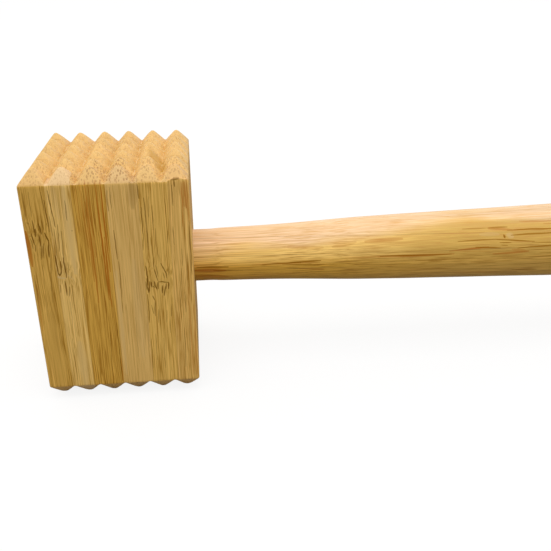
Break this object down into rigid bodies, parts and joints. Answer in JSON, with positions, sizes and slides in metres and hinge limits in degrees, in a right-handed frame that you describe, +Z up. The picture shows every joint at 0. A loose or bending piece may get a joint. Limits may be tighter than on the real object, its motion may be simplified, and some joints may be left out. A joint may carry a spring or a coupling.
{
  "type": "meat mallet",
  "caption": "Meat mallet with a square laminated bamboo head, pyramid teeth on both striking faces and a turned, laminated round handle glued into a blind bore.",
  "frame": {"origin": "centre of the head's flat end face, opposite the handle, on the handle's axis", "axes": "+X along the handle from the head's end face to the butt; +Z up through one toothed striking face, the other faces -Z; -Y is the front flat side of the head"},
  "size_m": [0.27, 0.06, 0.0954],
  "materials": {
    "bamboo_straw": "bare sanded bamboo, satin, fine fibres along each strip",
    "bamboo_pale": "bare sanded bamboo, satin, fine fibres along each strip",
    "bamboo_gold": "bare sanded bamboo, satin, fine fibres along each strip",
    "bamboo_honey": "bare sanded bamboo, satin, fine fibres along each strip",
    "bamboo_toasted": "bare sanded bamboo, satin, fine fibres along each strip",
    "bamboo_handle_light": "bare sanded bamboo, satin, fine fibres along each strip",
    "bamboo_handle_dark": "bare sanded bamboo, satin, fine fibres along each strip"
  },
  "bodies": {
    "root": {"head_ply1_strip1": "bamboo_pale", "head_ply1_strip2": "bamboo_straw", "head_ply1_strip3": "bamboo_toasted", "head_ply1_strip4": "bamboo_gold", "head_ply1_strip5": "bamboo_honey", "head_ply1_strip6": "bamboo_pale", "head_ply2_strip1": "bamboo_gold", "head_ply2_strip2": "bamboo_straw", "head_ply2_strip3": "bamboo_honey", "head_ply2_strip4": "bamboo_toasted", "head_ply2_strip5": "bamboo_pale", "head_ply3_strip1": "bamboo_straw", "head_ply3_strip2": "bamboo_straw", "head_ply3_strip3": "bamboo_straw", "head_ply3_strip4": "bamboo_straw", "head_ply3_strip5": "bamboo_straw", "head_ply3_strip6": "bamboo_straw", "head_ply4_strip1": "bamboo_honey", "head_ply4_strip2": "bamboo_straw", "head_ply4_strip3_upper": "bamboo_gold", "head_ply4_strip3_lower": "bamboo_gold", "head_ply4_strip4_upper": "bamboo_pale", "head_ply4_strip4_lower": "bamboo_pale", "head_ply4_strip5_upper": "bamboo_toasted", "head_ply4_strip5_lower": "bamboo_toasted", "head_ply5_strip1": "bamboo_toasted", "head_ply5_strip2": "bamboo_straw", "head_ply5_strip3": "bamboo_pale", "head_ply5_strip4_upper": "bamboo_honey", "head_ply5_strip4_lower": "bamboo_honey", "head_ply5_strip5_upper": "bamboo_gold", "head_ply5_strip5_lower": "bamboo_gold", "head_ply5_strip6_upper": "bamboo_toasted", "head_ply5_strip6_lower": "bamboo_toasted", "head_ply6_strip1": "bamboo_pale", "head_ply6_strip2": "bamboo_straw", "head_ply6_strip3": "bamboo_toasted", "head_ply6_strip4": "bamboo_gold", "head_ply6_strip5": "bamboo_honey", "head_ply7_strip1": "bamboo_gold", "head_ply7_strip2": "bamboo_straw", "head_ply7_strip3": "bamboo_honey", "head_ply7_strip4": "bamboo_toasted", "head_ply7_strip5": "bamboo_pale", "head_ply7_strip6": "bamboo_gold", "head_ply8_strip1": "bamboo_straw", "head_ply8_strip2": "bamboo_straw", "head_ply8_strip3": "bamboo_straw", "head_ply8_strip4": "bamboo_straw", "head_ply8_strip5": "bamboo_straw", "handle_bottom_stave": "bamboo_handle_dark", "handle_lower_stave": "bamboo_handle_dark", "handle_core_stave": "bamboo_handle_light", "handle_upper_stave": "bamboo_handle_light", "handle_top_stave": "bamboo_handle_light"}
  },
  "joints": []
}
